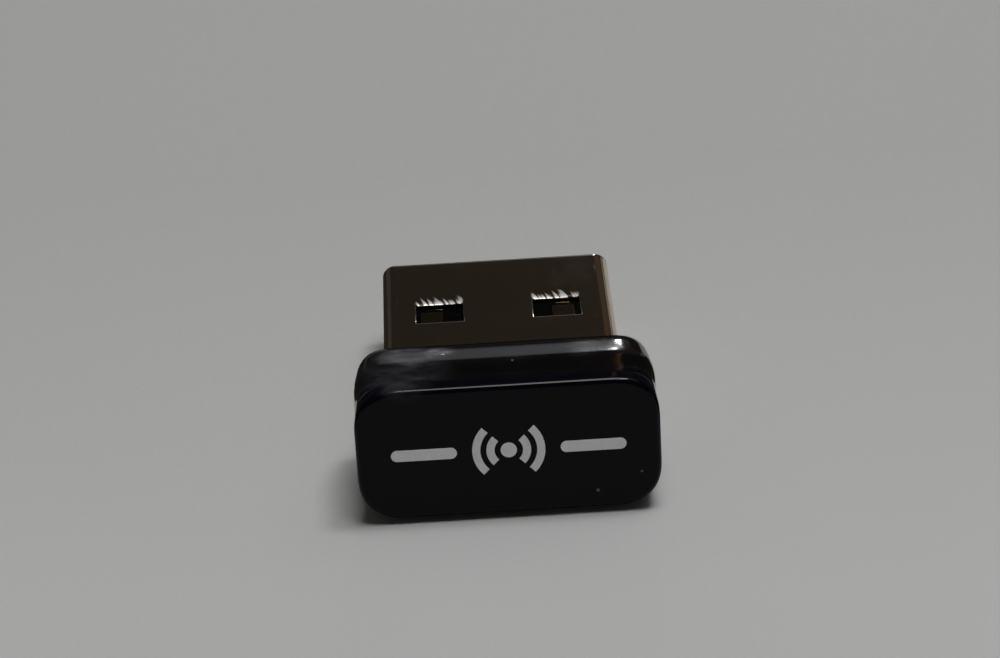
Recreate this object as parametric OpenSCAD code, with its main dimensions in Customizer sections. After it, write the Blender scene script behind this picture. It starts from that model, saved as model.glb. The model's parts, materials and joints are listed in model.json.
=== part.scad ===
// Nano USB wifi adapter: a short moulded body on a standard USB type A plug.
// Origin: centre of the plug where it leaves the body's rear face. +Y runs along the plug to its tip,
// +X to the right as seen from the front cap, +Z up. Millimetres.

/* [Plug] */
// Width of the plug shell, a standard size
plug_w = 12.0; // [11.9:0.05:12.1]
// Height of the plug shell, a standard size
plug_h = 4.5; // [4.4:0.05:4.6]
// How far the plug stands out of the body
plug_len = 11.8; // [11.7:0.05:12.4]
// Thickness of the shell's sheet steel
sheet_t = 0.3; // [0.25:0.01:0.3]
// Outer radius of the shell's folded corners
bend_r = 0.65; // [0.55:0.05:0.8]
// Distance from the body to the near edge of the latch windows
window_y = 4.05; // [3.9:0.05:4.3]
// Length of a latch window along the plug
window_l = 2.4; // [2.2:0.05:2.5]
// Width of a latch window across the plug
window_w = 2.46; // [2.2:0.02:2.5]
// Distance from the plug's middle to a latch window's inner edge
window_x = 1.81; // [1.7:0.01:1.9]

/* [Body] */
// Width of the body
body_w = 15.05; // [14.8:0.05:16]
// Height of the body
body_h = 7.0; // [6.9:0.05:7.6]
// Depth of the body from the front face to the rear face
body_d = 6.8; // [6.6:0.05:7.5]
// Corner radius of the front cap seen from the front
corner_r = 2.0; // [1.9:0.1:2.4]
// Corner radius of the rear housing at its fullest
rear_corner_r = 1.7; // [1.6:0.1:1.9]
// Depth of the front cap that shows
cap_d = 1.0; // [0.9:0.05:1.1]
// Radius of the front cap's front edge
edge_r = 0.35; // [0.2:0.05:0.4]
// How far forward of the rear face the slope to the rear lip begins
lip_d = 3.2; // [3:0.1:3.8]
// How far forward the rear lip's rounding reaches
lip_round_d = 1.8; // [1.6:0.1:2.2]
// How far the rear lip closes in towards the plug at the rear face
lip_drop = 1.05; // [0.8:0.05:1.05]
// How much slimmer the waist behind the front cap is, on each side
waist_in = 0.12; // [0.05:0.01:0.15]
// Wall thickness at the sides
wall_t = 0.7; // [0.6:0.05:0.75]

/* [Board] */
// Thickness of the circuit board
board_t = 0.6; // [0.5:0.05:0.6]
// Height of the board's upper face
board_top = -0.45; // [-0.5:0.01:-0.45]
// Width of the board inside the plug
board_plug_w = 11.1; // [10.8:0.1:11.2]
// Width of the board inside the body
board_body_w = 13.3; // [13:0.1:13.4]

/* [Mark] */
// Width of the printed mark on the front face
mark_w = 11.6; // [8:0.1:12]
// Height of the printed mark
mark_h = 2.55; // [2:0.05:3]
// Stroke of the printed mark
mark_stroke = 0.4; // [0.3:0.02:0.5]

/* [Hidden] */
$fn = 64;

fit_gap = 0.05;                             // clearance between moulded parts and what they hold
sliver = 0.01;                              // cutters run past a face by this much

inner_w = body_w / 2 - wall_t;              // half the width of the space inside the body
inner_h = body_h / 2 - wall_t - fit_gap;    // half its height
inner_r = rear_corner_r - wall_t;           // its corner radius
rear_wall_t = 0.8;                          // wall that the plug comes through
part_y = -(body_d - cap_d);                 // plane where the cap meets the rear housing
lip_slope = 0.1;                            // how fast it closes in from lip_d back
crest_d = lip_d + 0.4;                      // the outside is at full size from lip_d to here
waist_d = 5.2;                              // and at its slimmest from here to the cap

shell_in_w = plug_w / 2 - sheet_t;          // half the width inside the shell
shell_in_h = plug_h / 2 - sheet_t;          // half its height inside
shell_back = 1.6;                           // how far the shell runs on inside the body
tab_back = 3.2;                             // how far its two solder tabs run
lance_w = 0.25;                             // how far the retaining lances stand out

board_low = board_top - board_t;
board_front = -(body_d - 0.85);
board_step = -1.7;                          // where the board narrows to enter the plug
board_tip = 10.7;

carrier_tip = plug_len - 0.45;
carrier_back = -0.6;
contact_x = [-3.5, -1.0, 1.0, 3.5];         // ground, data plus, data minus, supply
contact_w = 1.15;
contact_t = 0.2;
contact_rise = 0.05;                        // how far a contact stands above the carrier
power_tip = plug_len - 1.5;                 // the outer two contacts meet their springs first
data_tip = plug_len - 2.5;
tail_back = -1.9;

spigot_t = 0.5;                             // wall of the cap's inner rim
spigot_back = -4.5;                         // how far the rim reaches into the rear housing
hook_h = 0.12;                              // height of the snap hooks on the rim
hook_w = 4.0;
hook_y = [-5.0, -4.7];

pad_t = 0.03;
chip_w = 5.0;
chip_t = 0.8;
chip_y = 1.2;
land_count = 10;                            // lands along each side of the chip
copper_t = 0.05;
mark_t = 0.02;
steps = 14;                                 // points along the rear lip's curve
arc_steps = 6;                              // points along the cap's front edge

// A block from one corner to the opposite one
module block(lo, hi) {
    translate(lo) cube(hi - lo);
}

// A rectangle with round corners, in 2D
module round_rect(w, h, r) {
    square([w - 2 * r, h], center = true);
    square([w, h - 2 * r], center = true);
    for (sx = [-1, 1], sy = [-1, 1])
        translate([sx * (w / 2 - r), sy * (h / 2 - r)]) circle(r);
}

// Its children's outline in XZ, extruded along Y from y0 to y1
module along_y(y0, y1) {
    translate([0, y1, 0]) rotate([90, 0, 0]) linear_extrude(y1 - y0) children();
}

// Its children's outline in YZ, extruded along X over a width centred on x
module along_x(x, w) {
    translate([x - w / 2, 0, 0]) rotate([90, 0, 90]) linear_extrude(w) children();
}

// Its children, and the same mirrored left to right
module left_and_right() {
    children();
    mirror([1, 0, 0]) children();
}

// Its children, and the same mirrored top to bottom
module top_and_bottom() {
    children();
    mirror([0, 0, 1]) children();
}

// A solid whose section across Y is a rounded rectangle. Each point of the profile is
// [how far the outline is drawn in, y], in rising y.
module swept_body(w, h, r, profile) {
    last = len(profile) - 1;
    corner = concat(
        [[0, profile[0][1]]], [for (p = profile) [r - p[0], p[1]]], [[0, profile[last][1]]]);
    for (sx = [-1, 1], sz = [-1, 1])
        translate([sx * (w / 2 - r), 0, sz * (h / 2 - r)])
            rotate([-90, 0, 0]) rotate_extrude() polygon(corner);
    slab(w / 2, profile, h - 2 * r);
    rotate([0, 90, 0]) slab(h / 2, profile, w - 2 * r);
}

// A slab with the profile on its left and right sides, extruded over a height centred on z = 0
module slab(half, profile, height) {
    last = len(profile) - 1;
    outline = concat(
        [for (p = profile) [half - p[0], p[1]]],
        [for (i = [last:-1:0]) [-(half - profile[i][0]), profile[i][1]]]);
    translate([0, 0, -height / 2]) linear_extrude(height) polygon(outline);
}

// How far the rear lip is drawn in at a distance d in front of the rear face
function lip_in(d) = let (t = (lip_round_d - d) / lip_round_d)
    lip_slope * (lip_d - d) + (lip_drop - lip_slope * lip_d) * (1 - sqrt(1 - t * t));

// A smooth step from 0 to 1
function ease(t) = t * t * (3 - 2 * t);

// How far the waist is drawn in at a distance d in front of the rear face
function waist_at(d) = waist_in * ease((d - crest_d) / (waist_d - crest_d));

// Distances of the profile's points, closer together where the lip curves most
function lip_point(i) = lip_round_d * (1 - sin(90 * i / steps));

rear_profile = concat(
    [[waist_in, part_y], [waist_in, -waist_d]],
    [for (i = [1:4]) let (d = waist_d - (waist_d - crest_d) * i / 5) [waist_at(d), -d]],
    [[0, -crest_d], [0, -lip_d]],
    [for (i = [0:steps]) [lip_in(lip_point(i)), -lip_point(i)]]);

cap_profile = concat(
    [for (i = [0:arc_steps]) let (a = 90 * i / arc_steps)
        [edge_r * (1 - sin(a)), -body_d + edge_r * (1 - cos(a))]],
    [[0, part_y - 0.06], [0.06, part_y]]);

// Moulded shell that holds the plug, with rails under the board
module rear_housing() {
    rail_x = inner_w - 0.55;
    rail_low = board_low - 0.4;
    color("#141416") {
        difference() {
            swept_body(body_w, body_h, rear_corner_r, rear_profile);
            along_y(part_y - 1, -rear_wall_t)
                round_rect(2 * inner_w, 2 * inner_h, inner_r);
            along_y(-body_d, 1)
                round_rect(plug_w + 2 * fit_gap, plug_h + 2 * fit_gap, bend_r + fit_gap);
            top_and_bottom()
                block([-hook_w / 2 - fit_gap, hook_y[0] - fit_gap, 0],
                      [hook_w / 2 + fit_gap, hook_y[1] + fit_gap, inner_h + hook_h]);
        }
        left_and_right()
            block([rail_x, spigot_back + 0.1, rail_low],
                  [inner_w + fit_gap, -rear_wall_t, board_low]);
    }
}

// Moulded front cover with a rim and snap hooks that hold it in the rear housing
module front_cap() {
    rim_w = inner_w - fit_gap;
    rim_h = inner_h - fit_gap;
    rim_r = inner_r - fit_gap;
    color("#121215") difference() {
        union() {
            swept_body(body_w, body_h, corner_r, cap_profile);
            along_y(part_y - 0.1, spigot_back) round_rect(2 * rim_w, 2 * rim_h, rim_r);
            top_and_bottom()
                block([-hook_w / 2, hook_y[0], rim_h - spigot_t],
                      [hook_w / 2, hook_y[1], rim_h + hook_h]);
        }
        along_y(board_front - fit_gap, spigot_back + 1)
            round_rect(2 * (rim_w - spigot_t), 2 * (rim_h - spigot_t), rim_r - spigot_t);
        block([-rim_w, board_front - fit_gap, board_low - fit_gap],
              [rim_w, spigot_back + 1, board_top + 0.1]);
    }
}

// One side of the printed mark: two arcs and a bar, all to the right of the middle
module half_mark() {
    spread = 45;
    reach = 4;
    outer_r = mark_h / 2 / sin(spread);
    bar_h = 1.5 * mark_stroke;
    bar_x = outer_r + 0.75;
    intersection() {
        union() for (r = [outer_r, outer_r - 1.75 * mark_stroke]) difference() {
            circle(r);
            circle(r - mark_stroke);
        }
        polygon([[0, 0], [reach, reach * tan(spread)], [reach, -reach * tan(spread)]]);
    }
    translate([bar_x + bar_h / 2, 0]) circle(bar_h / 2);
    translate([mark_w / 2 - bar_h / 2, 0]) circle(bar_h / 2);
    translate([bar_x + bar_h / 2, -bar_h / 2]) square([mark_w / 2 - bar_h - bar_x, bar_h]);
}

// Printed mark: a radio-wave symbol between two bars
module front_mark() {
    color("#909296") along_y(-body_d - mark_t, -body_d) {
        circle(mark_stroke);
        half_mark();
        mirror([1, 0]) half_mark();
    }
}

// Outline of the interlocking seam, drawn w wide and one line thick, in XY
module seam_line(t) {
    y0 = 8.0;
    y1 = 9.4;
    flare = 0.25;
    reach = 1.2;
    translate([-t / 2, -shell_back - 1]) square([t, y0 + shell_back + 1 + t / 2]);
    translate([-t / 2, y1 - t / 2]) square([t, plug_len - y1 + 1]);
    difference() {
        polygon([[-t / 2, y0 - t / 2], [reach + t, y0 - flare - t / 2],
                 [reach + t, y1 + flare + t / 2], [-t / 2, y1 + t / 2]]);
        polygon([[-t, y0 + t / 2], [reach, y0 - flare + t / 2],
                 [reach, y1 + flare - t / 2], [-t, y1 - t / 2]]);
    }
}

// Folded steel shell with four latch windows, a seam underneath, lances and solder tabs
module plug_shell() {
    color("#b9b4ac") {
        difference() {
            along_y(-shell_back, plug_len) round_rect(plug_w, plug_h, bend_r);
            along_y(-shell_back - 1, plug_len + 1)
                round_rect(2 * shell_in_w, 2 * shell_in_h, bend_r - sheet_t);
            for (sx = [-1, 1])
                translate([sx * (window_x + window_w / 2), window_y + window_l / 2, -plug_h])
                    linear_extrude(2 * plug_h) round_rect(window_w, window_l, 0.12);
            translate([0, 0, -plug_h / 2 - 1]) linear_extrude(1.5) seam_line(0.05);
        }
        left_and_right() {
            block([shell_in_w, -tab_back, board_low - 0.35], [plug_w / 2, -shell_back + 0.5, 0.6]);
            block([shell_in_w, -shell_back, -0.6],
                  [plug_w / 2 + lance_w, -rear_wall_t - fit_gap, 0.6]);
        }
    }
}

// Moulded insulator that carries the contacts and closes the board's end
module contact_carrier() {
    lead_in = 0.3;
    color("#2a2320") difference() {
        along_x(0, 2 * (shell_in_w - fit_gap)) polygon([
            [carrier_back, board_top], [board_tip + fit_gap, board_top],
            [board_tip + fit_gap, -shell_in_h + 0.02], [carrier_tip, -shell_in_h + 0.02],
            [carrier_tip, -lead_in], [carrier_tip - lead_in, 0], [carrier_back, 0]]);
        for (i = [0:3])
            block([contact_x[i] - contact_w / 2, carrier_back - 1, contact_rise - contact_t],
                  [contact_x[i] + contact_w / 2, i == 0 || i == 3 ? power_tip : data_tip, 1]);
    }
}

// One stamped contact: a flat blade on the carrier and a tail on the board
module contact(i, tip) {
    low = contact_rise - contact_t;
    color("#c79a4b") along_x(contact_x[i], contact_w) polygon([
        [tip, low], [tip, contact_rise], [carrier_back - 0.15, contact_rise],
        [carrier_back - 0.4, board_top + contact_t], [tail_back, board_top + contact_t],
        [tail_back, board_top], [carrier_back - 0.3, board_top], [carrier_back - 0.05, low]]);
}

module contact_vbus() {
    contact(3, power_tip);
}

module contact_data_minus() {
    contact(2, data_tip);
}

module contact_data_plus() {
    contact(1, data_tip);
}

module contact_ground() {
    contact(0, power_tip);
}

// Notches in the board for the shell's solder tabs, cut from z0 to z1
module tab_notches(z0, z1) {
    left_and_right()
        block([shell_in_w - 0.1, -tab_back - 0.1, z0], [plug_w / 2 + 0.15, board_step, z1]);
}

module circuit_board() {
    color("#1d5a34") difference() {
        union() {
            block([-board_plug_w / 2, board_step - sliver, board_low],
                  [board_plug_w / 2, board_tip, board_top]);
            block([-board_body_w / 2, board_front, board_low],
                  [board_body_w / 2, board_step, board_top]);
        }
        tab_notches(board_low - 1, board_top + 1);
    }
}

// Printed copper antenna: a feed, a ground leg and a meandering arm
module antenna_trace() {
    trace_w = 0.35;
    pitch = 0.75;
    turns = 8;
    x0 = -6.1;
    y0 = board_front + 0.35;
    y1 = y0 + 1.4;
    z1 = board_top + copper_t;
    color("#c07a3e") {
        for (i = [0:turns - 1]) {
            x = x0 + i * pitch;
            block([x, y0, board_top], [x + trace_w, y1, z1]);
            if (i < turns - 1) {
                y = i % 2 == 0 ? y1 - trace_w : y0;
                block([x, y, board_top], [x + pitch + trace_w, y + trace_w, z1]);
            }
        }
        block([x0 + (turns - 1) * pitch, y0, board_top],
              [x0 + (turns + 1) * pitch, y0 + trace_w, z1]);
        block([x0 + turns * pitch, y0, board_top],
              [x0 + turns * pitch + trace_w, -3.3, z1]);
        block([x0 + (turns + 1) * pitch - trace_w, y0, board_top],
              [x0 + (turns + 1) * pitch, -3.3, z1]);
    }
}

module wifi_chip() {
    top = board_low - pad_t;
    color("#1b1b1c") difference() {
        block([-chip_w / 2, chip_y - chip_w / 2, top - chip_t],
              [chip_w / 2, chip_y + chip_w / 2, top]);
        translate([-chip_w / 2 + 0.6, chip_y - chip_w / 2 + 0.6, top - chip_t - sliver])
            cylinder(h = 0.06, r = 0.25);
    }
}

// Solder between the chip's lands and the board: a middle pad and lands along all four sides
module chip_solder_pads() {
    land_w = 0.24;
    land_l = 0.45;
    pitch = 0.4;
    low = board_low - pad_t;
    edge = chip_w / 2 - land_l;
    color("#c9ccd0") translate([0, chip_y, 0]) {
        block([-1.6, -1.6, low], [1.6, 1.6, board_low]);
        for (turn = [0:3], i = [0:land_count - 1]) rotate([0, 0, 90 * turn]) {
            x = (i - (land_count - 1) / 2) * pitch;
            block([x - land_w / 2, edge, low], [x + land_w / 2, chip_w / 2, board_low]);
        }
    }
}

module crystal_base() {
    color("#d8cfc0") block([2.5, -5.1, board_top], [5.7, -2.6, board_top + 0.35]);
}

module crystal_lid() {
    z = board_top + 0.35;
    color("#c4c6c9") translate([4.1, -3.85, z]) linear_extrude(0.3) round_rect(2.9, 2.2, 0.3);
}

// A chip part standing at z, with end terminations a little larger than its body.
// side is 1 above the board and -1 below it, and turn rotates it about Z.
module chip_part(x, y, l, w, h, side, turn = 0) {
    end_l = l / 5;
    base = side > 0 ? board_top : board_low;
    translate([x, y, base]) rotate([0, 0, turn]) {
        block([-l / 2 + end_l / 2, -w / 2 + 0.02, side > 0 ? 0 : -(h - 0.02)],
              [l / 2 - end_l / 2, w / 2 - 0.02, side > 0 ? h - 0.02 : 0]);
        for (s = [-1, 1])
            block([s * (l - end_l) / 2 - end_l / 2, -w / 2, side > 0 ? 0 : -h],
                  [s * (l - end_l) / 2 + end_l / 2, w / 2, side > 0 ? h : 0]);
    }
}

module voltage_regulator() {
    color("#202021") block([-4.4, 7.6, board_low - 0.6], [-2.4, 9.6, board_low]);
}

module power_inductor() {
    color("#4a4744") chip_part(-0.6, 8.6, 2.0, 1.6, 0.8, -1, 90);
}

module ferrite_bead() {
    color("#3a3a3c") chip_part(1.4, 8.6, 1.6, 0.8, 0.8, -1, 90);
}

module input_capacitor() {
    color("#b59a72") chip_part(3.6, 7.9, 2.0, 1.25, 0.8, -1);
}

module output_capacitor() {
    color("#b59a72") chip_part(3.6, 9.7, 2.0, 1.25, 0.8, -1);
}

// 1.0 x 0.5 mm ceramic capacitors around the chip and beside the crystal
module decoupling_capacitors() {
    color("#b39468") {
        for (s = [-1, 1], y = [-0.9, 0.5, 1.9, 3.3])
            chip_part(s * 3.4, y, 1.0, 0.5, 0.5, -1);
        for (x = [3.2, 5.0])
            chip_part(x, -2.2, 1.0, 0.5, 0.5, 1);
    }
}

module resistors() {
    color("#17181a") for (x = [-5.2, -3.9, -2.6, -1.3])
        chip_part(x, -2.7, 1.0, 0.5, 0.35, 1);
}

// Small coil and capacitors between the chip's radio output and the antenna's feed
module rf_matching_parts() {
    color("#8f9aa6") for (x = [0.1, 1.4])
        chip_part(x, -2.9, 1.0, 0.5, 0.45, 1, 90);
}

// Solder fillets at the ends of the four contact tails
module contact_solder_joints() {
    color("#cdd0d3") for (x = contact_x)
        along_x(x, contact_w) polygon([
            [tail_back, board_top], [tail_back, board_top + 0.18], [tail_back - 0.12, board_top]]);
}

// Solder that fills the board's notches around the shell's tabs
module shell_solder_joints() {
    color("#cdd0d3") difference() {
        tab_notches(board_low, board_top);
        left_and_right()
            block([shell_in_w, -tab_back, board_low - 1], [plug_w / 2, 1, board_top + 1]);
    }
}

rear_housing();
front_cap();
front_mark();
plug_shell();
contact_carrier();
contact_vbus();
contact_data_minus();
contact_data_plus();
contact_ground();
circuit_board();
antenna_trace();
wifi_chip();
chip_solder_pads();
crystal_base();
crystal_lid();
voltage_regulator();
power_inductor();
ferrite_bead();
input_capacitor();
output_capacitor();
decoupling_capacitors();
resistors();
rf_matching_parts();
contact_solder_joints();
shell_solder_joints();
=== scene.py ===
"""A nano USB wifi adapter on a pale table: glossy black body, printed mark, plated steel plug."""

import json
import math

import bmesh
import bpy
from mathutils import Matrix, Vector


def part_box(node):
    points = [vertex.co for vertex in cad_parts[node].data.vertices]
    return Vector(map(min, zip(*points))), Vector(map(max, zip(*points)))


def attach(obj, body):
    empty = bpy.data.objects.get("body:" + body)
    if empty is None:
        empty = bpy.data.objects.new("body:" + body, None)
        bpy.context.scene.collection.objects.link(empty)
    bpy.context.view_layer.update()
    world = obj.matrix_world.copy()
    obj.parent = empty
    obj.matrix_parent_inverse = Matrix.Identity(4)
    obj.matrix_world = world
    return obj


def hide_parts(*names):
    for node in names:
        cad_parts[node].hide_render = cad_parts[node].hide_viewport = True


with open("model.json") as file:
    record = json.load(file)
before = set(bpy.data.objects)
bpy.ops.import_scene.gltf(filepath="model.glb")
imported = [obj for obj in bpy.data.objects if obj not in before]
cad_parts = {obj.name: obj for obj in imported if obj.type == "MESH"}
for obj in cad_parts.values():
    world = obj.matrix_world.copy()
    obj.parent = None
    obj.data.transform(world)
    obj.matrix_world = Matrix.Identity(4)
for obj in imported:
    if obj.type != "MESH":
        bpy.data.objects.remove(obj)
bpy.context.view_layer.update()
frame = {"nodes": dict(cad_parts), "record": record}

MM = 0.001

# ---------------------------------------------------------------- sizes, in millimetres

shell_low, shell_high = (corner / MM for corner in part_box("plug_shell"))
body_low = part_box("rear_housing")[0] / MM
cap_low, cap_high = (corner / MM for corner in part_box("front_cap"))

PLUG_HALF_W = 6.0
PLUG_HALF_H = shell_high.z
PLUG_TIP = shell_high.y
SHELL_BACK = -1.6
TAB_BACK = shell_low.y
TAB_Z = (-1.4, 0.6)
SHEET = 0.3
BEND = 0.65
WINDOW_X = (1.81, 4.27)
WINDOW_Y = (4.05, 6.45)
ROLL_DROP = 0.08
ROLL_REACH = (0.25, 0.7)
SCUFF_REACH = 1.2
SCUFF_LEAN = 0.35
ROLL_SIDE = 0.12
GUARD = 0.08
BEND_GUARD = 0.06
BEVEL = 0.03
SEAM_GAP = 0.05
SEAM_TAB = (8.0, 9.4)
SEAM_FLARE = 0.25
SEAM_REACH = 1.2

BODY_HALF_W = cap_high.x
BODY_HALF_H = cap_high.z
CAP_CORNER = (2.4, 2.5)
CORNER = (2.3, 3.5)
FRONT = cap_low.y
PART_Y = body_low.y
EDGE = 0.35
LIP_D = 3.45
LIP_SLOPE = 0.055
LIP_CURVE = 0.017
LIP_ROUND_D = 2.0
LIP_DROP = 1.0
CREST_SOFT = 0.12
CREST_D = 3.8
WAIST_D = 5.2
WAIST_IN = 0.12
REAR_WALL = 0.8
WALL = 0.7
FIT_GAP = 0.05
INNER_CORNER = 1.0
RIM_BACK = cap_high.y
RIM_WALL = 0.5
POCKET_Y = FRONT + 0.8

# ---------------------------------------------------------------- mesh helpers


def finish_mesh(name, bm, sharp_angle=35):
    """Makes an object from a bmesh in millimetres, shaded smooth between its sharp edges."""
    bmesh.ops.recalc_face_normals(bm, faces=bm.faces)
    bm.transform(Matrix.Scale(MM, 4))
    mesh = bpy.data.meshes.new(name)
    bm.to_mesh(mesh)
    bm.free()
    mesh.shade_smooth()
    mesh.set_sharp_from_angle(angle=math.radians(sharp_angle))
    made = bpy.data.objects.new(name, mesh)
    bpy.context.scene.collection.objects.link(made)
    return made


def keep_flats_flat(made):
    """Weights the normals by face area, so that only the narrow faces look round."""
    weighted = made.modifiers.new("flat_faces", "WEIGHTED_NORMAL")
    weighted.keep_sharp = True
    weighted.weight = 100
    return made


def corner_points(power, steps=14):
    """A quarter turn of unit size, from the bottom round to the right. A power of 2 gives a
    circle, and a higher power a fuller corner that starts more gently."""
    half = 2 ** (-1 / power)
    first = [(u, -((1 - u ** power) ** (1 / power))) for u in (half * i / steps for i in range(steps))]
    middle = [(half, -half)]
    return first + middle + [(-z, -x) for x, z in reversed(first[1:])]


def outline(half_w, half_h, size, power, per_long=24, per_short=8):
    """Points of a rounded rectangle in XZ, anticlockwise from the bottom edge's left end."""
    cx, cz = half_w - size, half_h - size
    quarter = corner_points(power)
    points = []
    starts = ((-cx, -half_h), (half_w, -cz), (cx, half_h), (-half_w, cz))
    ends = ((cx, -half_h), (half_w, cz), (-cx, half_h), (-half_w, -cz))
    centres = ((cx, -cz), (cx, cz), (-cx, cz), (-cx, -cz))
    runs = (per_long, per_short, per_long, per_short)
    for start, end, (x, z), count in zip(starts, ends, centres, runs):
        for i in range(count):
            points.append(tuple(a + (b - a) * i / count for a, b in zip(start, end)))
        points += [(x + size * px, z + size * pz) for px, pz in quarter]
        quarter = [(-pz, px) for px, pz in quarter]
    return points


def ring(y, inset=0.0, half_w=BODY_HALF_W, half_h=BODY_HALF_H, corner=CORNER):
    """The body's outline drawn in by inset, at a place along Y. A corner is a size and power."""
    size, power = corner
    points = outline(half_w - inset, half_h - inset, max(size - inset, 0.05), power)
    return [Vector((x, y, z)) for x, z in points]


def loft(name, rings, closed=False):
    """A skin over rings of equal length, closed onto its first ring or capped at both ends."""
    bm = bmesh.new()
    loops = [[bm.verts.new(p) for p in points] for points in rings]
    count = len(loops[0])
    pairs = list(zip(loops, loops[1:] + loops[:1])) if closed else list(zip(loops, loops[1:]))
    for low, high in pairs:
        for i in range(count):
            j = (i + 1) % count
            bm.faces.new((low[i], low[j], high[j], high[i]))
    if not closed:
        bm.faces.new(loops[0])
        bm.faces.new(loops[-1])
    return finish_mesh(name, bm)


# ---------------------------------------------------------------- body


def lip_inset(distance):
    """How far the rear lip is drawn in at a distance in front of the rear face."""
    past_crest = (LIP_D - distance + math.hypot(LIP_D - distance, CREST_SOFT)) / 2
    sloped = LIP_SLOPE * past_crest + LIP_CURVE * past_crest * past_crest
    left = LIP_DROP - LIP_SLOPE * LIP_D - LIP_CURVE * LIP_D * LIP_D
    t = max(0.0, LIP_ROUND_D - distance) / LIP_ROUND_D
    return sloped + left * (1 - math.sqrt(1 - t * t))


def waist_inset(distance):
    """How far the waist is drawn in at a distance in front of the rear face."""
    t = (distance - CREST_D) / (WAIST_D - CREST_D)
    return WAIST_IN * t * t * (3 - 2 * t)


def make_rear_housing():
    """The rear shell: outside with its waist and soft lip, the plug's opening, and the inside."""
    edge = 0.02
    rings = [ring(PART_Y, WAIST_IN + edge), ring(PART_Y + 0.3 * edge, WAIST_IN + 0.3 * edge)]
    rings += [ring(PART_Y + edge, WAIST_IN), ring(-WAIST_D, WAIST_IN)]
    waist_steps = 10
    for i in range(1, waist_steps):
        distance = WAIST_D - (WAIST_D - CREST_D) * i / waist_steps
        rings.append(ring(-distance, waist_inset(distance)))
    rings.append(ring(-CREST_D))
    crest_steps = 12
    for i in range(1, crest_steps):
        distance = CREST_D - 2 * (CREST_D - LIP_D) * i / crest_steps
        rings.append(ring(-distance, lip_inset(distance)))
    rings.append(ring(-LIP_ROUND_D - 0.2, lip_inset(LIP_ROUND_D + 0.2)))
    round_steps = 32
    for i in range(round_steps + 1):
        distance = LIP_ROUND_D * (1 - math.sin(math.radians(90 * i / round_steps)))
        rings.append(ring(-distance, lip_inset(distance)))
    hole = (PLUG_HALF_W + FIT_GAP, PLUG_HALF_H + FIT_GAP, (BEND + FIT_GAP, 2))
    inside = (BODY_HALF_W - WALL, BODY_HALF_H - WALL - FIT_GAP, (INNER_CORNER, 2))
    rings.append(ring(0, -edge, *hole))
    rings.append(ring(-edge, 0, *hole))
    rings.append(ring(-REAR_WALL, 0, *hole))
    rings.append(ring(-REAR_WALL, 0, *inside))
    rings.append(ring(PART_Y, 0, *inside))
    return keep_flats_flat(loft("rear_housing_shell", rings, closed=True))


def cap_ring(y, inset=0.0):
    """The front cap's outline, drawn in by inset."""
    return ring(y, inset, BODY_HALF_W, BODY_HALF_H, CAP_CORNER)


def make_front_cap():
    """The front cover: flat face, rounded edge, and the rim that snaps into the rear shell."""
    arc_steps = 10
    rim_corner = (INNER_CORNER - FIT_GAP, 2)
    rim = (BODY_HALF_W - WALL - FIT_GAP, BODY_HALF_H - WALL - 2 * FIT_GAP, rim_corner)
    rings = [cap_ring(FRONT, EDGE + 0.5), cap_ring(FRONT, EDGE + 0.03)]
    for i in range(arc_steps + 1):
        a = math.radians(90 * i / arc_steps)
        rings.append(cap_ring(FRONT + EDGE * (1 - math.cos(a)), EDGE * (1 - math.sin(a))))
    rings += [cap_ring(PART_Y), ring(PART_Y, 0, *rim), ring(RIM_BACK, 0, *rim)]
    rings += [ring(RIM_BACK, RIM_WALL, *rim), ring(POCKET_Y, RIM_WALL, *rim)]
    return keep_flats_flat(loft("front_cap_cover", rings))


# ---------------------------------------------------------------- plug


def shell_section():
    """Stations round the folded sheet from one side of the seam to the other: x, z and the
    outward direction. The first and last are the seam's two edges."""
    flat = PLUG_HALF_W - BEND
    wall = PLUG_HALF_H - BEND
    bend_steps = 8
    inner, outer = WINDOW_X
    beside = (
        inner - GUARD, inner, inner + ROLL_SIDE,
        outer - ROLL_SIDE, outer, outer + GUARD,
        flat - BEND_GUARD,
    )

    def bend(sx, sz, first):
        for i in range(1, bend_steps):
            a = math.radians(first + 90 * i / bend_steps)
            x = sx * flat + BEND * math.cos(a)
            yield x, sz * wall + BEND * math.sin(a), math.cos(a), math.sin(a)

    right_bottom = [(x, -PLUG_HALF_H, 0, -1) for x in (0, *beside, flat)]
    left_bottom = [(-x, z, nx, nz) for x, z, nx, nz in reversed(right_bottom)]
    right = [(PLUG_HALF_W, z, 1, 0) for z in (-wall, *TAB_Z, wall)]
    left = [(-x, z, -nx, nz) for x, z, nx, nz in reversed(right)]
    across = (flat, *reversed(beside), *(-x for x in beside), -flat)
    top = [(x, PLUG_HALF_H, 0, 1) for x in across]
    return (
        right_bottom + list(bend(1, -1, -90)) + right + list(bend(1, 1, 0))
        + top + list(bend(-1, 1, 90)) + left + list(bend(-1, -1, 180)) + left_bottom
    )


def shell_rows():
    """Rows along the sheet: y, and the seam's own x and y there."""
    first, last = SEAM_TAB
    step = 0.05
    rolled = [WINDOW_Y[1] + reach for reach in ROLL_REACH]
    before_window = WINDOW_Y[0] - GUARD
    plain = [(y, 0, y) for y in (TAB_BACK, SHELL_BACK, before_window, *WINDOW_Y, *rolled)]
    tab = [
        (first - step, 0, first), (first + step, SEAM_REACH, first - SEAM_FLARE),
        (last - step, SEAM_REACH, last + SEAM_FLARE), (last + step, 0, last),
    ]
    return plain + tab + [(y, 0, y) for y in (PLUG_TIP - 2 * GUARD, PLUG_TIP)]


def is_sheet(x, y, z):
    """Whether the sheet has metal at the middle of a cell."""
    in_window = WINDOW_X[0] < abs(x) < WINDOW_X[1] and WINDOW_Y[0] < y < WINDOW_Y[1]
    if abs(abs(z) - PLUG_HALF_H) < 0.01 and in_window:
        return False
    if y < SHELL_BACK:
        return abs(abs(x) - PLUG_HALF_W) < 0.01 and TAB_Z[0] < z < TAB_Z[1]
    return True


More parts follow.
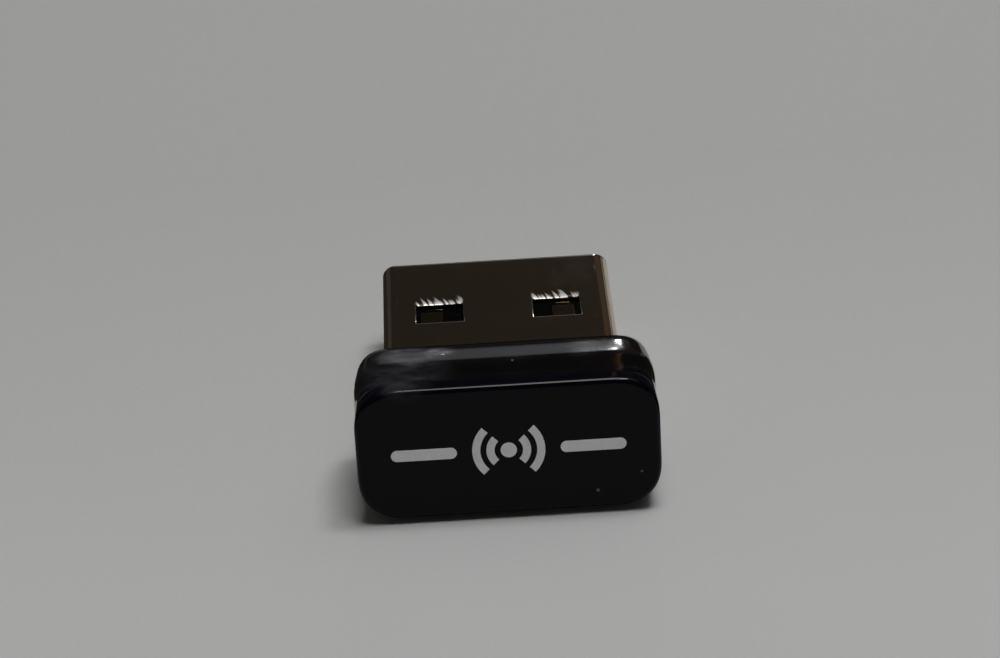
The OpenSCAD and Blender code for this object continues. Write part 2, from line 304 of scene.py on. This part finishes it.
def roll_in(x, y, z):
    """How far the sheet is pressed in at the latch windows' tip-side edges."""
    over = WINDOW_X[0] + 0.01 < abs(x) < WINDOW_X[1] - 0.01
    if abs(abs(z) - PLUG_HALF_H) > 0.01 or not over:
        return 0.0
    past = y - WINDOW_Y[1]
    if past < -0.01 or past > ROLL_REACH[0] + 0.01:
        return 0.0
    return ROLL_DROP if past < 0.01 else 0.2 * ROLL_DROP


def make_plug_shell():
    """The folded steel shell, with latch windows, seam and solder tabs, and rolled-in edges."""
    stations, rows = shell_section(), shell_rows()
    last = len(stations) - 1
    bm = bmesh.new()
    skins = {}
    for depth in (0.0, SHEET):
        for r, (y, seam_x, seam_y) in enumerate(rows):
            for s, (x, z, nx, nz) in enumerate(stations):
                px, py = x, y
                if s in (0, last):
                    px = seam_x + (SEAM_GAP / 2 if s == 0 else -SEAM_GAP / 2)
                    py = seam_y
                pressed = depth + roll_in(x, y, z)
                skins[depth, r, s] = (px - nx * pressed, py, z - nz * pressed)
    cells = set()
    for r in range(len(rows) - 1):
        for s in range(last):
            mid = [(stations[s][k] + stations[s + 1][k]) / 2 for k in (0, 1)]
            if is_sheet(mid[0], (rows[r][0] + rows[r + 1][0]) / 2, mid[1]):
                cells.add((r, s))
    verts = {}

    def vert(depth, r, s):
        key = (depth, r, s)
        if key not in verts:
            verts[key] = bm.verts.new(skins[key])
        return verts[key]

    for r, s in cells:
        corners = ((r, s), (r, s + 1), (r + 1, s + 1), (r + 1, s))
        for depth in (0.0, SHEET):
            bm.faces.new([vert(depth, *c) for c in corners])
        sides = ((r - 1, s, 0, 1), (r, s + 1, 1, 2), (r + 1, s, 2, 3), (r, s - 1, 3, 0))
        for next_r, next_s, a, b in sides:
            if (next_r, next_s) not in cells:
                walls = (vert(0.0, *corners[a]), vert(0.0, *corners[b]))
                walls += (vert(SHEET, *corners[b]), vert(SHEET, *corners[a]))
                bm.faces.new(walls)
    bmesh.ops.recalc_face_normals(bm, faces=bm.faces)

    def sharp(edge):
        return len(edge.link_faces) == 2 and edge.calc_face_angle(0) > math.radians(50)

    def at_seam(edge):
        return all(abs(v.co.x) < SEAM_REACH + 0.2 and v.co.z < 0 and abs(v.co.y - PLUG_TIP) > 0.01
                   for v in edge.verts)

    edges = [e for e in bm.edges if sharp(e) and not at_seam(e)]
    bmesh.ops.bevel(bm, geom=edges, offset=BEVEL, segments=2, profile=0.5, affect="EDGES",
                    clamp_overlap=True)
    return keep_flats_flat(finish_mesh("plug_shell_folded", bm, sharp_angle=50))


# ---------------------------------------------------------------- material helpers


def add(tree, kind, inputs=None, **settings):
    """A node with its settings, and its inputs linked or set."""
    made = tree.nodes.new(kind)
    for key, value in settings.items():
        setattr(made, key, value)
    for key, value in (inputs or {}).items():
        if isinstance(value, bpy.types.NodeSocket):
            tree.links.new(value, made.inputs[key])
        else:
            made.inputs[key].default_value = value
    return made


def principled(name):
    """A new material: the material, its node tree and its main shader."""
    material = bpy.data.materials.new(name)
    material.use_nodes = True
    tree = material.node_tree
    tree.nodes.clear()
    output = tree.nodes.new("ShaderNodeOutputMaterial")
    shader = tree.nodes.new("ShaderNodeBsdfPrincipled")
    tree.links.new(shader.outputs["BSDF"], output.inputs["Surface"])
    return material, tree, shader


def place_mm(tree, stretch=(1, 1, 1)):
    """The surface's place in the row frame in millimetres, stretched along the axes."""
    coordinates = add(tree, "ShaderNodeTexCoord").outputs["Object"]
    scale = tuple(s / MM for s in stretch)
    return add(tree, "ShaderNodeVectorMath", {0: coordinates, 1: scale},
               operation="MULTIPLY").outputs[0]


def noise(tree, place, scale, detail=3.0, roughness=0.55):
    """Smooth noise with so many features per millimetre."""
    inputs = {"Vector": place, "Scale": scale, "Detail": detail, "Roughness": roughness}
    return add(tree, "ShaderNodeTexNoise", inputs).outputs["Fac"]


def remap(tree, value, low, high, to_low=0.0, to_high=1.0, smooth=False):
    """A value's range from low to high, taken to another range and held there."""
    inputs = {"Value": value, "From Min": low, "From Max": high, "To Min": to_low, "To Max": to_high}
    kind = "SMOOTHSTEP" if smooth else "LINEAR"
    return add(tree, "ShaderNodeMapRange", inputs, interpolation_type=kind).outputs["Result"]


def band(tree, value, low, high, soft):
    """1 while a value is between two limits, with soft ends."""
    rise = remap(tree, value, low - soft, low + soft, smooth=True)
    fall = remap(tree, value, high + soft, high - soft, smooth=True)
    return math_node(tree, "MULTIPLY", rise, fall)


def math_node(tree, operation, a, b=0.0):
    """One arithmetic step."""
    return add(tree, "ShaderNodeMath", {0: a, 1: b}, operation=operation).outputs[0]


def blend_colour(tree, factor, a, b):
    """A colour between a and b."""
    inputs = {"Factor": factor, 6: a, 7: b}
    return add(tree, "ShaderNodeMix", inputs, data_type="RGBA").outputs[2]


def colour(red, green, blue):
    """A linear colour with full alpha."""
    return (red, green, blue, 1.0)


def bump(tree, height, depth, normal=None):
    """A normal raised by height times depth, in metres."""
    inputs = {"Height": height, "Distance": depth, "Strength": 1.0}
    if normal is not None:
        inputs["Normal"] = normal
    return add(tree, "ShaderNodeBump", inputs).outputs["Normal"]


def near(tree, point, radius, softness):
    """1 within a radius of a point in millimetres, fading to 0 over softness."""
    gap = add(tree, "ShaderNodeVectorMath", {0: place_mm(tree), 1: point}, operation="DISTANCE")
    return remap(tree, gap.outputs["Value"], radius + softness, radius, smooth=True)


def set_inputs(tree, shader, **inputs):
    """Sets or links the shader's inputs, written with underscores for spaces."""
    for key, value in inputs.items():
        socket = shader.inputs[key.replace("_", " ")]
        if isinstance(value, bpy.types.NodeSocket):
            tree.links.new(value, socket)
        else:
            socket.default_value = value


# ---------------------------------------------------------------- materials


def dust_specks(tree, place, density, kept, radius):
    """Scattered round specks: so many cells per millimetre, with one speck in the kept share."""
    cells = add(tree, "ShaderNodeTexVoronoi", {"Vector": place, "Scale": density}).outputs
    chosen = remap(tree, add(tree, "ShaderNodeSeparateColor", {0: cells["Color"]}).outputs[0],
                   kept, 0.9 * kept)
    size = density * radius
    return math_node(tree, "MULTIPLY", remap(tree, cells["Distance"], size, 0.4 * size), chosen)


def strongest(tree, *values):
    """The highest of several values."""
    highest = values[0]
    for value in values[1:]:
        highest = math_node(tree, "MAXIMUM", highest, value)
    return highest


def black_plastic(name, level, tint, flecks=(), hazy_sheen_places=()):
    """Polished black plastic: smudges, hairline scratches, dust, flecks, and scuffed hazy patches that
    are rougher and also painted lighter, a painted soft sheen.
    """
    material, tree, shader = principled(name)
    place = place_mm(tree)
    smudge = noise(tree, place, 0.45, 4.0)
    hair = noise(tree, place_mm(tree, (0.6, 9, 9)), 1.3, 2.0)
    scratch = remap(tree, hair, 0.66, 0.7)
    cloud = noise(tree, place_mm(tree, (0.45, 1, 1)), 1.6, 5.0, 0.62)
    cloud = remap(tree, cloud, 0.32, 0.68, 0.25, 1.0, smooth=True)
    haze_and_sheen, dusty = 0.0, dust_specks(tree, place, 0.9, 0.12, 0.05)
    for point, radius, softness, strength in hazy_sheen_places:
        patch = math_node(tree, "MULTIPLY", near(tree, point, radius, softness), strength)
        haze_and_sheen = strongest(tree, math_node(tree, "MULTIPLY", patch, cloud), haze_and_sheen)
    for point, radius in flecks:
        dusty = strongest(tree, near(tree, point, 0.5 * radius, radius), dusty)
    rough = remap(tree, smudge, 0.35, 0.75, 0.05, 0.12)
    rough = math_node(tree, "ADD", rough, math_node(tree, "MULTIPLY", scratch, 0.08))
    rough = math_node(tree, "ADD", rough, math_node(tree, "MULTIPLY", haze_and_sheen, 0.3))
    base = blend_colour(tree, smudge, tint, colour(*(1.5 * c for c in tint[:3])))
    # painted soft sheen: the scuffed hazy patches are also painted a lighter purple-grey
    base = blend_colour(tree, haze_and_sheen, base, colour(0.07, 0.066, 0.076))
    base = blend_colour(tree, dusty, base, colour(0.12, 0.12, 0.12))
    normal = bump(tree, smudge, 0.000001)
    normal = bump(tree, hair, 0.0000005, normal)
    normal = bump(tree, dusty, 0.00001, normal)
    set_inputs(tree, shader, Base_Color=base, Roughness=rough, Normal=normal,
               IOR=1.5, Specular_IOR_Level=level)
    return material


def window_scuffs(tree):
    """At each latch window's tip-side edge: bright rubbed streaks that taper and lean as they run
    to the tip, and a darker strip along the edge between them."""
    axes = add(tree, "ShaderNodeSeparateXYZ", {0: place_mm(tree)}).outputs
    beside = band(tree, math_node(tree, "ABSOLUTE", axes["X"]), WINDOW_X[0], WINDOW_X[1], 0.08)
    along = remap(tree, axes["Y"], WINDOW_Y[1] + SCUFF_REACH, WINDOW_Y[1], smooth=True)
    leaning = math_node(tree, "ADD", axes["X"], math_node(tree, "MULTIPLY", axes["Y"], SCUFF_LEAN))
    lines = noise(tree, add(tree, "ShaderNodeCombineXYZ", {0: leaning}).outputs[0], 3.2, 1.0)
    widened = math_node(tree, "ADD", lines, math_node(tree, "MULTIPLY", along, 0.2))
    streak = math_node(tree, "MULTIPLY", remap(tree, widened, 0.58, 0.72, smooth=True), beside)
    start = remap(tree, axes["Y"], WINDOW_Y[1], WINDOW_Y[1] + 0.03)
    rubbed = math_node(tree, "MULTIPLY", math_node(tree, "MULTIPLY", streak, along), start)
    # a strip along the window's tip-side edge, darker between the streaks
    edge = math_node(tree, "MULTIPLY", beside,
                     band(tree, axes["Y"], WINDOW_Y[1] - 0.02, WINDOW_Y[1] + 0.08, 0.02))
    dark_edge_strip = math_node(tree, "MULTIPLY", edge, math_node(tree, "SUBTRACT", 1.0, streak))
    return rubbed, dark_edge_strip


def plated_steel():
    """Nickel plating over rolled sheet: soft smudges, faint drawn lines, rubbed windows."""
    material, tree, shader = principled("plated_steel")
    place = place_mm(tree)
    smudge = noise(tree, place, 0.35, 5.0, 0.6)
    drawn = noise(tree, place_mm(tree, (14, 0.9, 14)), 1.0, 3.0)
    hair = remap(tree, noise(tree, place_mm(tree, (11, 0.35, 11)), 1.0, 2.0), 0.68, 0.74)
    rubbed, dark_edge_strip = window_scuffs(tree)
    stain = remap(tree, smudge, 0.42, 0.66, smooth=True)
    base = blend_colour(tree, stain, colour(0.72, 0.59, 0.45), colour(0.62, 0.51, 0.38))
    base = blend_colour(tree, rubbed, base, colour(0.85, 0.85, 0.84))
    # darker along each window's tip-side edge, between the streaks
    base = blend_colour(tree, dark_edge_strip, base, colour(0.06, 0.055, 0.05))
    rough = remap(tree, stain, 0, 1, 0.045, 0.07)
    rough = math_node(tree, "ADD", rough, math_node(tree, "MULTIPLY", hair, 0.06))
    rough = math_node(tree, "ADD", rough, math_node(tree, "MULTIPLY", rubbed, 0.5))
    normal = bump(tree, drawn, 0.0000002)
    normal = bump(tree, smudge, 0.0000006, normal)
    set_inputs(tree, shader, Base_Color=base, Metallic=1.0, Roughness=rough, Normal=normal)
    return material


def print_ink():
    """White pad print, a little uneven."""
    material, tree, shader = principled("print_ink")
    place = place_mm(tree)
    mottle = noise(tree, place, 3.0, 4.0)
    base = blend_colour(tree, mottle, colour(0.74, 0.74, 0.76), colour(0.9, 0.9, 0.91))
    rough = remap(tree, mottle, 0.3, 0.7, 0.4, 0.6)
    set_inputs(tree, shader, Base_Color=base, Roughness=rough,
               Normal=bump(tree, mottle, 0.000004))
    return material


def plain_part(name, first, second, roughness, metallic=0.0, scale=4.0, depth=0.000004, level=0.5):
    """A small part's material: two tones mixed by a fine grain, with softened edges."""
    material, tree, shader = principled(name)
    grain = noise(tree, place_mm(tree), scale, 4.0)
    base = blend_colour(tree, grain, colour(*first), colour(*second))
    rough = remap(tree, grain, 0.3, 0.7, 0.8 * roughness, 1.2 * roughness)
    soft_edge = add(tree, "ShaderNodeBevel", {"Radius": 0.03 * MM}, samples=4).outputs["Normal"]
    set_inputs(tree, shader, Base_Color=base, Roughness=rough, Metallic=metallic,
               Specular_IOR_Level=level, Normal=bump(tree, grain, depth, soft_edge))
    return material


def table_top():
    """Pale matt table with a fine tooth, painted lighter towards the near side as painted light
    falloff.
    """
    material, tree, shader = principled("table_top")
    place = place_mm(tree)
    tooth = noise(tree, place, 3.5, 4.0, 0.7)
    patch = noise(tree, place, 0.03, 3.0)
    painted_light_falloff = remap(tree, add(tree, "ShaderNodeSeparateXYZ", {0: place}).outputs["Y"], 32, -15)
    # painted light falloff: the table's colour is lighter towards the near side
    base = blend_colour(tree, painted_light_falloff, colour(0.372, 0.373, 0.36), colour(0.445, 0.446, 0.44))
    base = blend_colour(tree, remap(tree, patch, 0.3, 0.7, 0, 0.2), base, colour(0.38, 0.38, 0.37))
    base = blend_colour(tree, remap(tree, tooth, 0.3, 0.7, 0, 0.2), base, colour(0.46, 0.46, 0.45))
    set_inputs(tree, shader, Base_Color=base, Roughness=0.85, Specular_IOR_Level=0.2,
               Normal=bump(tree, tooth, 0.00003))
    return material


# ---------------------------------------------------------------- stage and light


def table_height(y):
    """The table's height at a place along Y. The adapter is tail-light, so its plug's tip and its
    rear lip rest on the table, and the front cap stands just clear of it."""
    distances = [LIP_D * i / 40 for i in range(41)]
    slope = max((BODY_HALF_H - lip_inset(d) - PLUG_HALF_H) / (PLUG_TIP + d) for d in distances)
    return (y - PLUG_TIP) * slope - PLUG_HALF_H


def make_floor():
    """The table top."""
    half = 1500.0
    bm = bmesh.new()
    corners = ((-half, -half), (half, -half), (half, half), (-half, half))
    bm.faces.new([bm.verts.new((x, y, table_height(y))) for x, y in corners])
    floor = finish_mesh("table", bm)
    floor.data.materials.append(table_top())


# What glossy faces mirror. Azimuths and elevations are in degrees, seen from the adapter, and the
# places of the dark sheet that paints a dark reflection are in millimetres.
PANEL_LOW = (9.0, 15.5)
PANEL_HIGH = (21.5, 20.0)
PANEL_AZ = (-6.5, 10.0)
PANEL_LEFT = colour(0.17, 0.185, 0.195)
PANEL_RIGHT = colour(0.29, 0.31, 0.33)
WARM = ((4.4, 6.0), (26.5, 44.0))
WARM_COLOUR = colour(0.36, 0.17, 0.085)
TAN = ((5.0, 21.0), (13.0, 26.0))
TAN_COLOUR = colour(0.055, 0.04, 0.03)
RIGHT_GLOW = ((21.5, 24.5), (5.0, 12.0))
LEFT_GLOW = ((-26.0, -17.0), (5.0, 18.0))
GLOW = colour(0.2, 0.2, 0.185)
DIM_GLOW = colour(0.04, 0.04, 0.032)
DARK_ROOM = colour(0.021, 0.0182, 0.0163)
MAT_OUTSIDE = (2.2, 3.2)
MAT_INSIDE = (-5.5, -7.0)
MAT_CENTRE = 5.0
MAT_TAPER = 0.456
MAT_INNER = 12.0
MAT_LEFT = (2, -2)


def direction(azimuth, elevation):
    """A direction from the adapter: azimuth 0 is along +Y and turns towards +X, in degrees."""
    a, e = math.radians(azimuth), math.radians(elevation)
    return Vector((math.sin(a) * math.cos(e), math.cos(a) * math.cos(e), math.sin(e)))


def softbox(name, azimuth, elevation, distance, width, height, radiance, tint=(1, 1, 1)):
    """A rectangular light that faces the adapter, in metres. Radiance is what it looks like."""
    lamp = bpy.data.lights.new(name, "AREA")
    lamp.shape = "RECTANGLE"
    lamp.size, lamp.size_y = width, height
    lamp.energy = radiance * width * height * math.pi
    lamp.color = tint
    holder = bpy.data.objects.new(name, lamp)
    towards = direction(azimuth, elevation)
    holder.location = towards * distance
    holder.rotation_mode = "QUATERNION"
    holder.rotation_quaternion = towards.to_track_quat("Z", "Y")
    bpy.context.scene.collection.objects.link(holder)
    return holder


def make_world():
    """The room: pale near the horizon, as the table's far side, and dimmer overhead."""
    world = bpy.data.worlds.new("room")
    world.use_nodes = True
    bpy.context.scene.world = world
    tree = world.node_tree
    tree.nodes.clear()
    aim = add(tree, "ShaderNodeTexCoord").outputs["Generated"]
    height = add(tree, "ShaderNodeSeparateXYZ", {0: aim}).outputs["Z"]
    behind = remap(tree, add(tree, "ShaderNodeSeparateXYZ", {0: aim}).outputs["Y"], -0.3, 0.3)
    dome = blend_colour(tree, behind, colour(0.03, 0.028, 0.028), colour(0.14, 0.135, 0.13))
    up = remap(tree, height, 0.09, 0.2, smooth=True)
    shade = blend_colour(tree, up, colour(0.34, 0.34, 0.335), dome)
    background = add(tree, "ShaderNodeBackground", {"Color": shade, "Strength": 1.0})
    output = add(tree, "ShaderNodeOutputWorld")
    tree.links.new(background.outputs[0], output.inputs[0])


def glow_patch(tree, azimuth, elevation, where, soft):
    """1 inside a range of azimuth and of elevation, in degrees, with soft edges."""
    across, up = where
    return math_node(tree, "MULTIPLY", band(tree, azimuth, *across, soft),
                     band(tree, elevation, *up, soft))


def reflection_material():
    """What stands behind the adapter, by azimuth and elevation in degrees: a dark room with a
    grey panel low down, a warm patch beside it and a dim glow at each side."""
    material = bpy.data.materials.new("dark_room")
    material.use_nodes = True
    tree = material.node_tree
    tree.nodes.clear()
    place = add(tree, "ShaderNodeTexCoord").outputs["Object"]
    axes = add(tree, "ShaderNodeSeparateXYZ", {0: place}).outputs
    turn = 180 / math.pi
    azimuth = math_node(tree, "MULTIPLY", math_node(tree, "ARCTAN2", axes["X"], axes["Y"]), turn)
    length = add(tree, "ShaderNodeVectorMath", {0: place}, operation="LENGTH").outputs["Value"]
    sine = math_node(tree, "DIVIDE", axes["Z"], length)
    elevation = math_node(tree, "MULTIPLY", math_node(tree, "ARCSINE", sine), turn)
    panel = math_node(tree, "MULTIPLY", remap(tree, elevation, *PANEL_LOW),
                      remap(tree, elevation, *PANEL_HIGH))
    panel = math_node(tree, "MULTIPLY", panel, band(tree, azimuth, *PANEL_AZ, 2.0))
    lit = blend_colour(tree, remap(tree, azimuth, -3, 3), PANEL_LEFT, PANEL_RIGHT)
    shade = blend_colour(tree, panel, DARK_ROOM, lit)
    shade = blend_colour(tree, glow_patch(tree, azimuth, elevation, TAN, 1.5), shade, TAN_COLOUR)
    shade = blend_colour(tree, glow_patch(tree, azimuth, elevation, WARM, 1.1), shade, WARM_COLOUR)
    shade = blend_colour(tree, glow_patch(tree, azimuth, elevation, RIGHT_GLOW, 1.0), shade, GLOW)
    shade = blend_colour(tree, glow_patch(tree, azimuth, elevation, LEFT_GLOW, 2.0), shade, DIM_GLOW)
    glow = add(tree, "ShaderNodeEmission", {"Color": shade, "Strength": 1.0})
    output = add(tree, "ShaderNodeOutputMaterial")
    tree.links.new(glow.outputs[0], output.inputs["Surface"])
    return material


def mirrored_sheet_material():
    """A dark sheet just above the table that only glossy faces mirror, a painted dark reflection. It
    leaves a strip of bare table at a slant on each side of the plug.
    """
    material = bpy.data.materials.new("mirrored_dark_sheet")
    material.use_nodes = True
    tree = material.node_tree
    tree.nodes.clear()
    axes = add(tree, "ShaderNodeSeparateXYZ", {0: place_mm(tree)}).outputs
    beside = math_node(tree, "ABSOLUTE", math_node(tree, "SUBTRACT", axes["X"], MAT_CENTRE))
    beside = math_node(tree, "SUBTRACT", beside, math_node(tree, "MULTIPLY", axes["Y"], MAT_TAPER))
    covered = strongest(tree, remap(tree, beside, *MAT_OUTSIDE, smooth=True),
                        remap(tree, beside, *MAT_INSIDE, smooth=True),
                        remap(tree, axes["X"], *MAT_LEFT, 0, 0.7))
    # painted dark reflection: a dark glow that glossy faces mirror in place of the lit table
    painted_dark_reflection = add(tree, "ShaderNodeEmission", {"Color": DARK_ROOM, "Strength": 1.0}).outputs[0]
    clear = add(tree, "ShaderNodeBsdfTransparent").outputs[0]
    mixed = add(tree, "ShaderNodeMixShader", {0: covered, 1: clear, 2: painted_dark_reflection})
    output = add(tree, "ShaderNodeOutputMaterial")
    tree.links.new(mixed.outputs[0], output.inputs["Surface"])
    return material


def flag_material():
    """Black from above and clear from below."""
    material = bpy.data.materials.new("one_sided_black")
    material.use_nodes = True
    tree = material.node_tree
    tree.nodes.clear()
    from_below = add(tree, "ShaderNodeNewGeometry").outputs["Backfacing"]
    black = add(tree, "ShaderNodeEmission", {"Color": DARK_ROOM, "Strength": 0.3}).outputs[0]
    clear = add(tree, "ShaderNodeBsdfTransparent").outputs[0]
    mixed = add(tree, "ShaderNodeMixShader", {0: from_below, 1: black, 2: clear})
    output = add(tree, "ShaderNodeOutputMaterial")
    tree.links.new(mixed.outputs[0], output.inputs["Surface"])
    return material


def make_reflected(name, rows, material):
    """A surface of rows of points that glossy faces mirror and the camera never sees."""
    bm = bmesh.new()
    made = [[bm.verts.new(p) for p in row] for row in rows]
    for low, high in zip(made, made[1:]):
        for i in range(len(low) - 1):
            bm.faces.new((low[i], low[i + 1], high[i + 1], high[i]))
    card = finish_mesh(name, bm)
    card.data.materials.append(material)
    card.visible_camera = False
    card.visible_shadow = False
    card.visible_diffuse = False
    return card


def make_dark_room():
    """A curved card round the adapter's back and sides, and in front of it a dark sheet just above the
    table, a painted dark reflection that only glossy faces mirror.
    """
    radius, half_turn, steps = 600.0, 100.0, 64
    above_table = 0.3
    turns = [math.radians(-half_turn + 2 * half_turn * i / steps) for i in range(steps + 1)]

    def around(reach, height=None):
        row = [(reach * math.sin(a), reach * math.cos(a)) for a in turns]
        return [(x, y, table_height(y) + above_table if height is None else height) for x, y in row]

    make_reflected("dark_room_card", [around(radius), around(radius, 620.0)], reflection_material())
    make_reflected("mirrored_dark_sheet", [around(MAT_INNER), around(radius)], mirrored_sheet_material())


def make_plug_flag():
    """Keeps the plug's glare off the rear lip, which would mirror it as a bright line."""
    above_plug = PLUG_HALF_H + 0.02
    rows = [[(-PLUG_HALF_W, y, above_plug), (PLUG_HALF_W, y, above_plug)] for y in (0.05, PLUG_TIP)]
    flag = make_reflected("plug_flag", rows, flag_material())
    if flag.data.polygons[0].normal.z < 0:
        flag.data.flip_normals()


def make_lights():
    softbox("overhead", 120, 82, 0.8, 0.34, 0.34, 10.8)
    softbox("fill", 60, 60, 0.8, 0.5, 0.4, 0.5)
    softbox("cap_glint", 84, 73, 0.7, 0.08, 0.13, 25.0, (0.93, 0.96, 1.0))
    softbox("star_lamp", 4.7, 12.5, 0.55, 0.013, 0.026, 100.0, (0.97, 0.98, 1.0))
    softbox("crest_lamp", 3.6, 18.0, 0.55, 0.008, 0.016, 24.0, (0.97, 0.98, 1.0))


# ---------------------------------------------------------------- camera

CAMERA_AT = (-1.94, -168.65, 79.06)
CAMERA_YAW = -0.65
CAMERA_PITCH = 24.14
CAMERA_ROLL = 3.16
CAMERA_LENS = 131.9


def make_camera():
    """Looks down on the front from a little left of the middle, rolled slightly."""
    yaw, pitch, roll = (math.radians(a) for a in (CAMERA_YAW, CAMERA_PITCH, CAMERA_ROLL))
    level = math.cos(pitch)
    forward = Vector((-math.sin(yaw) * level, math.cos(yaw) * level, -math.sin(pitch)))
    right = Vector((math.cos(yaw), math.sin(yaw), 0))
    down = forward.cross(right)
    turned_right = math.cos(roll) * right + math.sin(roll) * down
    turned_up = math.sin(roll) * right - math.cos(roll) * down
    camera = bpy.data.cameras.new("camera")
    camera.lens = CAMERA_LENS
    camera.sensor_width = 36.0
    camera.clip_start = 0.01
    camera.clip_end = 20.0
    holder = bpy.data.objects.new("camera", camera)
    axes = Matrix((turned_right, turned_up, -forward)).transposed()
    holder.matrix_world = Matrix.Translation(Vector(CAMERA_AT) * MM) @ axes.to_4x4()
    bpy.context.scene.collection.objects.link(holder)
    bpy.context.scene.camera = holder


# ---------------------------------------------------------------- assembly


def show(piece, material, slot, *nodes):
    """Gives a new piece its material and puts it in place of CAD nodes."""
    piece.data.materials.clear()
    piece.data.materials.append(material)
    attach(piece, "root")
    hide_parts(*nodes)


def paint_node(node, material):
    """Gives a carried-over CAD node its material."""
    for holder in frame["nodes"][node].material_slots:
        holder.link = "OBJECT"
        holder.material = material


def paint_cad_nodes():
    """Materials of every CAD node that stays as it is, by its slot in the record."""
    finishes = {
        "print_ink": print_ink(),
        "carrier_plastic": plain_part(
            "carrier_plastic", (0.0022, 0.002, 0.002), (0.005, 0.0045, 0.004), 0.75, level=0.02),
        "contact_gold": plain_part(
            "contact_gold", (0.36, 0.24, 0.11), (0.26, 0.17, 0.08), 0.07, 1.0, depth=0.0000001),
        "board_laminate": plain_part(
            "board_laminate", (0.01, 0.09, 0.035), (0.02, 0.13, 0.05), 0.35),
        "copper": plain_part("copper", (0.7, 0.36, 0.2), (0.55, 0.28, 0.15), 0.3, 1.0),
        "chip_epoxy": plain_part(
            "chip_epoxy", (0.015, 0.015, 0.016), (0.03, 0.03, 0.032), 0.6, scale=12.0),
        "solder": plain_part("solder", (0.6, 0.61, 0.63), (0.45, 0.46, 0.48), 0.28, 1.0),
        "ceramic": plain_part("ceramic", (0.6, 0.55, 0.46), (0.7, 0.64, 0.54), 0.55),
        "lid_metal": plain_part("lid_metal", (0.62, 0.61, 0.6), (0.5, 0.5, 0.5), 0.3, 1.0),
        "ferrite": plain_part("ferrite", (0.05, 0.048, 0.045), (0.09, 0.085, 0.08), 0.5),
        "capacitor_ceramic": plain_part(
            "capacitor_ceramic", (0.42, 0.3, 0.17), (0.5, 0.37, 0.22), 0.4),
        "resistor_glaze": plain_part(
            "resistor_glaze", (0.012, 0.012, 0.013), (0.025, 0.025, 0.027), 0.25),
    }
    for part in frame["record"]["subparts"]:
        if part["material_slot"] in finishes:
            paint_node(part["node"], finishes[part["material_slot"]])


# Hazy places are a point, a radius, a softness and a strength, and flecks a point and a radius.
# Hazy places are scuffed rougher and also painted lighter, as a painted soft sheen.
HOUSING_BLACK = colour(0.0012, 0.0012, 0.0015)
CAP_BLACK = colour(0.0013, 0.001, 0.0027)
TOP_HAZE_AND_SHEEN = (
    ((-3.3, -2.4, 3.4), 0.3, 1.0, 1.0), ((-4.9, -2.5, 3.4), 0.6, 1.4, 0.75),
    ((-5.0, -4.6, 3.4), 0.6, 2.4, 0.3),
)
CAP_HAZE_AND_SHEEN = (((-5.0, -6.2, 4.6), 1.1, 0.9, 0.35),)
TOP_FLECKS = (((0.45, -3.9, 3.48), 0.06), ((-3.05, -2.6, 3.4), 0.12))
FRONT_FLECKS = (((4.3, FRONT, -2.5), 0.08), ((6.5, FRONT, -1.6), 0.06))

bpy.context.scene.view_settings.view_transform = "Standard"
make_camera()
make_world()
make_dark_room()
make_plug_flag()
make_lights()
make_floor()
housing_plastic = black_plastic("housing_plastic", 0.42, HOUSING_BLACK, TOP_FLECKS, TOP_HAZE_AND_SHEEN)
cap_plastic = black_plastic("cap_plastic", 0.13, CAP_BLACK, FRONT_FLECKS, CAP_HAZE_AND_SHEEN)
show(make_rear_housing(), housing_plastic, "housing_plastic", "rear_housing")
show(make_front_cap(), cap_plastic, "cap_plastic", "front_cap")
show(make_plug_shell(), plated_steel(), "plated_steel", "plug_shell")
paint_cad_nodes()
